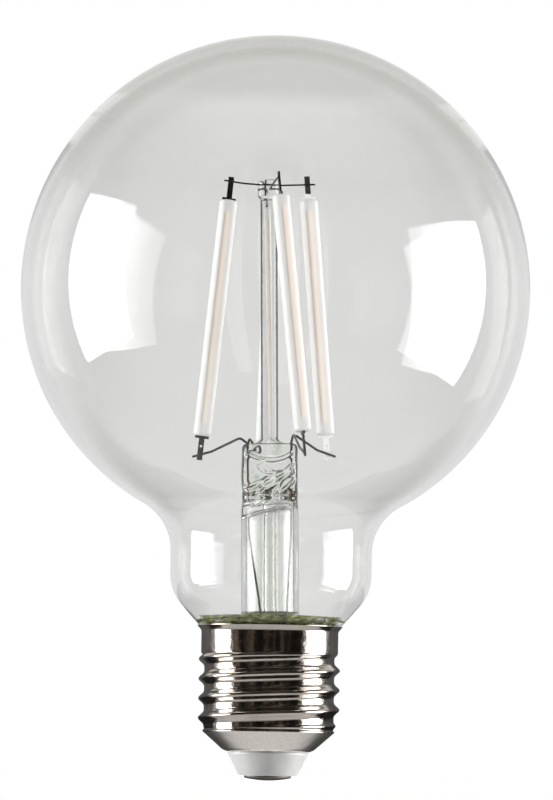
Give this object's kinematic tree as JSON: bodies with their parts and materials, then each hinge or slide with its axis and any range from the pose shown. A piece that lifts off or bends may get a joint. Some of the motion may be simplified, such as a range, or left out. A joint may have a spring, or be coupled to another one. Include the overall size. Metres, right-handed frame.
{
  "type": "led filament bulb",
  "caption": "Clear globe lamp with upright filaments on a glass stem and a nickel-plated Edison screw cap.",
  "frame": {"origin": "tip of the centre contact, on the lamp's axis", "axes": "+Z along the lamp's axis from the cap to the globe's crown; -Y faces the picture's viewer"},
  "size_m": [0.095, 0.095, 0.1387],
  "materials": {
    "envelope_glass": "clear blown soda-lime glass",
    "stem_glass": "clear fused glass",
    "cap_nickel": "bright nickel plate",
    "contact_nickel": "dull nickel",
    "insulator_white": "moulded white",
    "phosphor": "silicone with phosphor, satin",
    "strip_metal": "plain",
    "tab_metal": "darkened by welding",
    "anchor_wire": "drawn wire",
    "lead_wire": "drawn nickel wire",
    "seal_copper": "copper-clad, borated red",
    "outer_copper": "tinned copper",
    "cement": "dull",
    "board": "white solder mask",
    "package_black": "moulded",
    "capacitor_sleeve": "sleeved can",
    "fuse_body": "lacquered",
    "hookup_wire": "insulated"
  },
  "bodies": {
    "root": {"glass_envelope": "envelope_glass", "stem_flare": "stem_glass", "exhaust_tube": "stem_glass", "stem_rod": "stem_glass", "anchor_wire_sides": "anchor_wire", "anchor_wire_front_back": "anchor_wire", "inner_lead_left": "lead_wire", "inner_lead_right": "lead_wire", "branch_lead_left": "lead_wire", "branch_lead_right": "lead_wire", "seal_wire_left": "seal_copper", "seal_wire_right": "seal_copper", "outer_lead_left": "outer_copper", "outer_lead_right": "outer_copper", "cap_shell": "cap_nickel", "cap_cement": "cement", "cap_insulator": "insulator_white", "centre_contact": "contact_nickel", "driver_board": "board", "bridge_rectifier": "package_black", "current_regulator": "package_black", "smoothing_capacitor": "capacitor_sleeve", "fuse_resistor": "fuse_body", "live_wire": "hookup_wire", "neutral_wire": "hookup_wire", "filament_left_strip": "strip_metal", "filament_left_phosphor": "phosphor", "filament_left_foot_tab": "tab_metal", "filament_left_head_tab": "tab_metal", "filament_front_strip": "strip_metal", "filament_front_phosphor": "phosphor", "filament_front_foot_tab": "tab_metal", "filament_front_head_tab": "tab_metal", "filament_right_strip": "strip_metal", "filament_right_phosphor": "phosphor", "filament_right_foot_tab": "tab_metal", "filament_right_head_tab": "tab_metal", "filament_back_strip": "strip_metal", "filament_back_phosphor": "phosphor", "filament_back_foot_tab": "tab_metal", "filament_back_head_tab": "tab_metal"}
  },
  "joints": []
}
